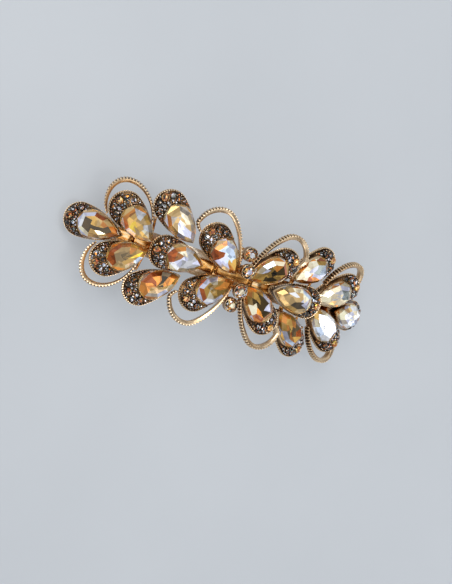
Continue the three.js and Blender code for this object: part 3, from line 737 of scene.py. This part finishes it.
def petal_cup(end, placement):
    """Leaf cup with a milled wall and rim, sloping bed, and the thin bezel round the pear."""
    crest, grooves = cup_outline(LEAF, 0.0), cup_outline(LEAF, -RIDGE_DEPTH)
    bezel, lip = cup_outline(PEAR, 0.0), cup_outline(PEAR, -0.16)
    count = len(crest)
    wave = np.array([CUP_RIDGE[i % len(CUP_RIDGE)] for i in range(count)])
    milled = crest + (grooves - crest) * wave[:, None]
    rim = crest + (grooves - crest) * (RIM_MILLING[0] + RIM_MILLING[1] * wave)[:, None]
    gap = np.linalg.norm(bezel - crest, axis=1)

    def toward(start, stop, amount, limit):
        """From one outline to the other by an amount, or by a share where they are close."""
        return start + (stop - start) * np.minimum(amount / gap.clip(1e-6), limit)[:, None]

    bed_edge = toward(crest, bezel, 0.48, 0.42)
    foot = toward(bezel, crest, 0.2, 0.3)
    # Outline, height, and value of wear and painted shade; the bed under the pave and the inside
    # of the bezel are painted dark as painted shade, and a value of None follows the milling.
    rings = [
        (cup_outline(LEAF, -CUP_CHAMFER), CUP_BOTTOM, 0.6),
        (cup_outline(LEAF, -0.08), CUP_BOTTOM + CUP_CHAMFER, 0.8),
        (milled, CUP_BOTTOM + CUP_CHAMFER + 0.15, None),
        (milled, CUP_RIM - 0.18, None),
        (rim, CUP_RIM, None),
        (toward(crest, bezel, 0.42, 0.33), CUP_RIM - 0.02, None),
        (bed_edge, CUP_RIM - 0.25, 0.0),
        ((bed_edge + foot) / 2, (CUP_RIM + BEZEL_FOOT) / 2 - 0.3, 0.05),
        (foot, BEZEL_FOOT - 0.3, 0.15),
        (cup_outline(PEAR, 0.03), BEZEL_FOOT + 0.1, 0.6),
        (bezel, BEZEL_TOP - 0.15, 0.8),
        (cup_outline(PEAR, -0.07), BEZEL_TOP + 0.02, 1.0),
        (lip, BEZEL_TOP - 0.04, 0.7),
        (lip, -BEZEL_DEPTH, 0.1),
    ]
    build = Build()
    worn = []
    for _, _, value in rings:
        worn += list(1.0 - GROOVE_SHADE_AND_PATINA * wave) if value is None else [value] * count
    stack(build, [lift(ring, z) for ring, z, _ in rings], worn)
    return build.emit("leaf_cup_" + end, placement, GOLD, smooth_angle=38,
                      stands_for=("petal_cup_" + end,))


# ---------------------------------------------------------------- ribbon loops

RIDGE_PITCH = 1.05
# Share of the milling's depth at each section over one ridge.
RIBBON_RIDGE = (0.0, 0.0, 0.6, 1.0, 1.0, 0.6)
CURVE_STEPS = 24


def smooth_path(points, spacing):
    """Catmull-Rom curve through points of any width, at an even spacing in the plane."""
    p = np.vstack([2 * points[0] - points[1], points, 2 * points[-1] - points[-2]])
    dense = []
    for i in range(1, len(p) - 2):
        for t in np.linspace(0, 1, CURVE_STEPS, endpoint=False):
            a, b, c, d = p[i - 1], p[i], p[i + 1], p[i + 2]
            dense.append(0.5 * (2 * b + (c - a) * t + (2 * a - 5 * b + 4 * c - d) * t * t
                                + (3 * b - a - 3 * c + d) * t ** 3))
    dense.append(p[-2])
    dense = np.array(dense)
    steps = np.linalg.norm(np.diff(dense[:, :2], axis=0), axis=1)
    run = np.concatenate([[0], np.cumsum(steps)])
    at = np.linspace(0, run[-1], int(round(run[-1] / spacing)) + 1)
    return np.stack([np.interp(at, run, dense[:, k]) for k in range(dense.shape[1])], 1)


def ribbon_section(w, dip):
    """Section of a ribbon of width w where the milling has gone down by dip: distance in from
    the outer edge, height, and value of wear and painted shade (the milled notches painted
    darker), from the inner lower edge round."""
    h = RIBBON_HALF_HEIGHT
    crest = 1 - dip
    return [
        (w - 0.02, -h + 0.15, 0.5), (w - 0.12, -h, 0.5),
        (0.14 + 0.22 * dip, -h, 0.6 * crest), (0.04 + 0.24 * dip, -h + 0.2, crest),
        (0.02 + 0.28 * dip, h - 0.3, crest), (0.12 + 0.26 * dip, h - 0.04 - 0.1 * dip, crest),
        (0.46, h - 0.01, 0.75), (0.54, h - 0.03, 0.6),
        (w - 0.13, h - 0.08 - 0.14 * w, 0.7), (w - 0.02, h - 0.16 - 0.18 * w, 0.8),
        (w - 0.02, 0.0, 0.5),
    ]


def ribbon(node_name):
    placement, line, widths = ribbon_frame(node_name)
    path = smooth_path(np.column_stack([line, widths]), RIDGE_PITCH / len(RIBBON_RIDGE))
    ahead = np.gradient(path[:, :2], axis=0)
    ahead /= np.linalg.norm(ahead, axis=1)[:, None]
    inward = np.stack([ahead[:, 1], -ahead[:, 0]], 1)
    if ((path[:, :2] - path[:, :2].mean(0)) * inward).sum() > 0:
        inward = -inward
    build = Build()
    rings, worn = [], []
    for i, ((x, y, w), (dx, dy)) in enumerate(zip(path, inward)):
        section = ribbon_section(w, RIBBON_RIDGE[i % len(RIBBON_RIDGE)])
        rings.append([(x + dx * d, y + dy * d, z) for d, z, _ in section])
        worn += [value for _, _, value in section]
    stack(build, rings, worn)
    return build.emit(node_name.replace("ribbon_loop", "loop"), placement, GOLD, smooth_angle=40,
                      stands_for=(node_name,))


# ---------------------------------------------------------------- chatons

# Table colour of each chaton by letter; the white and lavender are painted reflections.
CHATON_HEARTS = "wlcc"
CHATON_STONE_RADIUS = 2.13
CHATON_STEPS = 72
CHATON_BEADS, CHATON_BEAD_RADIUS, CHATON_BEAD_DROP = 26, 0.17, 0.1


def on_circle(radius, part, height):
    turn = 2 * math.pi * part
    return radius * math.cos(turn), radius * math.sin(turn), height


def chaton(number, rng):
    """Round stone in a beaded cup, both in the place of their CAD nodes."""
    cup_low, cup_high = (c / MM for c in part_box(f"chaton_cup_{number}"))
    centre = (cup_low + cup_high) / 2
    radius = (cup_high.x - cup_low.x) / 2
    depth = cup_high.z - cup_low.z
    placement = Matrix.Translation((centre.x, centre.y, cup_high.z))
    # Distance in from the cup's side, height, and value of wear and painted shade (inside and
    # groove painted dark), from the foot up and over the rim.
    profile = [
        (0.35, -depth, 0.4), (0.08, -depth + 0.3, 0.6), (0.02, -depth + 0.6, 0.5),
        (0.16, -0.75, 0.15), (0.04, -0.45, 0.6), (0.0, -0.25, 0.9), (0.04, -0.08, 1.0),
        (0.12, -0.03, 1.0), (0.2, -0.08, 0.9), (0.25, -0.3, 0.3), (0.25, -1.2, 0.1),
    ]
    rings, worn = [], []
    for inset, z, value in profile:
        rings.append([on_circle(radius - inset, k / CHATON_STEPS, z)
                      for k in range(CHATON_STEPS)])
        worn += [value] * CHATON_STEPS
    cup = Build()
    stack(cup, rings, worn)
    # Every other bead is painted light as a painted glint round the ring, and the others darker.
    for k in range(CHATON_BEADS):
        spot = on_circle(radius - CHATON_BEAD_RADIUS, k / CHATON_BEADS, -CHATON_BEAD_DROP)
        ball(cup, spot, CHATON_BEAD_RADIUS, worn=0.35 + 0.65 * (k % 2))
    cup.emit(f"chaton_setting_{number}", placement, GOLD, smooth_angle=50,
             stands_for=(f"chaton_cup_{number}",))
    stone = Build()
    brilliant(stone, (0, 0, 0), (0, 0, 1), CHATON_STONE_RADIUS, "chaton", rng, sides=12, rows=3,
              rise=0.328, table=0.4, depth=0.5, heart=CHATON_HEARTS[number - 1])
    stone.emit(f"chaton_cut_{number}", placement, PEAR_GLASS, slot="chaton_glass",
               stands_for=(f"chaton_{number}",))


# ---------------------------------------------------------------- steel parts and frame

STEEL_NODES = ("base_bar", "rivet_left", "rivet_right", "hinge_pin", "swing_arm", "clasp_saddle",
               "clasp_finger_back", "clasp_finger_front")
BEVEL_WIDTH, BEVEL_SEGMENTS, BEVEL_ANGLE = 0.12, 2, 32
CAST_VOXEL = 0.25
SPRING_STEPS, SPRING_THICKNESS, SPRING_CORNER = 80, 0.5, 0.1
SPRING_END_LENGTH, SPRING_END_SHARE = 2.0, 0.08


def coat(node_name, material):
    mesh = NODES[node_name].data
    mesh.materials.clear()
    mesh.materials.append(material)


def bevelled(node_name):
    soft = NODES[node_name].modifiers.new("edges", "BEVEL")
    soft.width = BEVEL_WIDTH * MM
    soft.segments = BEVEL_SEGMENTS
    soft.limit_method = "ANGLE"
    soft.angle_limit = math.radians(BEVEL_ANGLE)
    soft.harden_normals = True
    NODES[node_name].data.shade_smooth()


def cast_skin(node_name):
    cast = NODES[node_name].modifiers.new("cast", "REMESH")
    cast.mode = "VOXEL"
    cast.voxel_size = CAST_VOXEL * MM
    cast.use_smooth_shade = True


def bow_spring():
    """Arched strip with rounded ends, built in the resting arch of the spring that the opening arm
    flattens.
    """
    low, high = (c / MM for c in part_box("bow_spring"))
    half, width = high.x, high.y
    sag = (high.z - low.z) - SPRING_THICKNESS
    t, c = SPRING_THICKNESS, SPRING_CORNER
    build = Build()
    rings = []
    for i in range(SPRING_STEPS + 1):
        x = -half + 2 * half * i / SPRING_STEPS
        z = high.z - sag * (x / half) ** 2
        end = min(1.0, (half - abs(x)) / SPRING_END_LENGTH)
        w = width * math.sqrt(max(SPRING_END_SHARE, 1 - (1 - end) ** 2))
        rings.append([(x, -w, z - t + c), (x, -w + c, z - t), (x, w - c, z - t),
                      (x, w, z - t + c), (x, w, z - c), (x, w - c, z), (x, -w + c, z),
                      (x, -w, z - c)])
    stack(build, rings)
    piece = build.emit("bow_strip", Matrix.Identity(4), SPRING, smooth_angle=40,
                       slot="spring_steel", stands_for=("bow_spring",))
    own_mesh(piece)


# ---------------------------------------------------------------- assembly

PETAL_SEED, CHATON_SEED = 100, 40

for index, cup_node in enumerate(sorted(n for n in NODES if n.startswith("petal_cup_"))):
    petal_rng = random.Random(PETAL_SEED + index)
    petal_place = petal_frame(cup_node)
    petal = cup_node.replace("petal_cup_", "")
    petal_cup(petal, petal_place)
    pear_stone(petal, petal_place, PEAR_LOOKS[petal], petal_rng)
    pave(petal, petal_place, petal_rng)
for loop_node in sorted(n for n in NODES if n.startswith("ribbon_loop_")):
    ribbon(loop_node)
for chaton_number in (1, 2, 3, 4):
    chaton(chaton_number, random.Random(CHATON_SEED + chaton_number))
coat("ornament_frame", FRAME_GOLD)
cast_skin("ornament_frame")
for steel_node in STEEL_NODES:
    coat(steel_node, STEEL)
    bevelled(steel_node)
bow_spring()

# ---------------------------------------------------------------- stage, light and camera

FLOOR_HALF, FLOOR_LEVEL = 4.0, -0.02 * MM
# Place, size, watts and colour of each softbox; all face the same spot.
SOFTBOX_AIM = (0, 0, 0.02)
SOFTBOXES = {
    "key": ((-0.30, 0.35, 0.50), (0.30, 0.38), 1.45, (1.0, 0.98, 0.95)),
    "top": ((0.10, 0.05, 0.60), (0.12, 0.22), 0.35, (1, 1, 1)),
    "right": ((0.50, -0.10, 0.28), (0.14, 0.34), 0.22, (0.93, 0.96, 1.0)),
    "low": ((-0.05, -0.50, 0.25), (0.34, 0.08), 0.22, (1.0, 0.96, 0.9)),
}


def floor():
    """Pale floor just under the clip's feet, which glows a little so that it stays even."""
    mesh = bpy.data.meshes.new("floor")
    s, level = FLOOR_HALF, FLOOR_LEVEL
    corners = [(-s, -s, level), (s, -s, level), (s, s, level), (-s, s, level)]
    mesh.from_pydata(corners, [], [(0, 1, 2, 3)])
    plane = bpy.data.objects.new("floor", mesh)
    bpy.context.scene.collection.objects.link(plane)
    material, tree, bsdf = shader("pale_floor", Roughness=0.55, Emission_Strength=0.33,
                                  Emission_Color=(0.83, 0.90, 0.98, 1.0))
    cloud = noise(tree, place_of(tree), 9.0, 5.0)
    colour = ramp(tree, cloud, [(0.3, (0.25, 0.255, 0.26)), (0.7, (0.285, 0.29, 0.295))])
    tree.links.new(colour.outputs["Color"], bsdf.inputs["Base Color"])
    mesh.materials.append(material)


def softbox(name, place, size, watts, colour):
    data = bpy.data.lights.new(name, "AREA")
    data.shape = "RECTANGLE"
    data.size, data.size_y = size
    data.energy = watts
    data.color = colour
    lamp = bpy.data.objects.new(name, data)
    lamp.location = place
    aim = Vector(SOFTBOX_AIM) - Vector(place)
    lamp.rotation_euler = aim.to_track_quat("-Z", "Y").to_euler()
    bpy.context.scene.collection.objects.link(lamp)


def studio_world():
    """Pale ceiling that darkens to the walls, broken by soft panels so that facets and milling
    catch contrast. The panels fade out towards the horizon."""
    world = bpy.data.worlds.new("studio")
    bpy.context.scene.world = world
    world.use_nodes = True
    tree = world.node_tree
    background = tree.nodes["Background"]
    way = node(tree, "ShaderNodeTexCoord").outputs["Generated"]
    height = node(tree, "ShaderNodeSeparateXYZ", [(way, "Vector")]).outputs["Z"]
    sky = ramp(tree, height, [(0.0, (0.56, 0.59, 0.63)), (0.3, (0.52, 0.54, 0.57)),
                              (0.75, (0.66, 0.69, 0.74)), (1.0, (0.80, 0.83, 0.88))])
    panels = remap(tree, noise(tree, way, 3.4, 1.5), 0.25, 1.8, start=0.42, stop=0.58)
    above = remap(tree, height, 0.0, 1.0, start=0.1, stop=0.3)
    level = node(tree, "ShaderNodeMix", [(above, 0), (panels, 3)], data_type="FLOAT")
    level.inputs[2].default_value = 1.0
    lit = node(tree, "ShaderNodeVectorMath", [(sky.outputs["Color"], 0)], operation="SCALE")
    tree.links.new(level.outputs[0], lit.inputs["Scale"])
    tree.links.new(lit.outputs["Vector"], background.inputs["Color"])
    background.inputs["Strength"].default_value = 0.95


floor()
for lamp_name, (lamp_place, lamp_size, lamp_watts, lamp_colour) in SOFTBOXES.items():
    softbox(lamp_name, lamp_place, lamp_size, lamp_watts, lamp_colour)
studio_world()

CAMERA_PLACE = (-0.2405, 0.0286, 0.4631)
CAMERA_RIGHT = Vector((0.832, 0.365, 0.418))
CAMERA_DOWN = Vector((0.293, -0.929, 0.228))
CAMERA_AHEAD = Vector((0.471, -0.067, -0.88))

camera_data = bpy.data.cameras.new("camera")
camera_data.sensor_width = 36.0
camera_data.lens = 98.63
camera_data.clip_start, camera_data.clip_end = 0.01, 10.0
camera = bpy.data.objects.new("camera", camera_data)
axes = Matrix((CAMERA_RIGHT, -CAMERA_DOWN, -CAMERA_AHEAD)).transposed().to_4x4()
camera.matrix_world = Matrix.Translation(CAMERA_PLACE) @ axes
bpy.context.scene.collection.objects.link(camera)
bpy.context.scene.camera = camera
bpy.context.scene.view_settings.view_transform = "Standard"

bpy.context.view_layer.update()
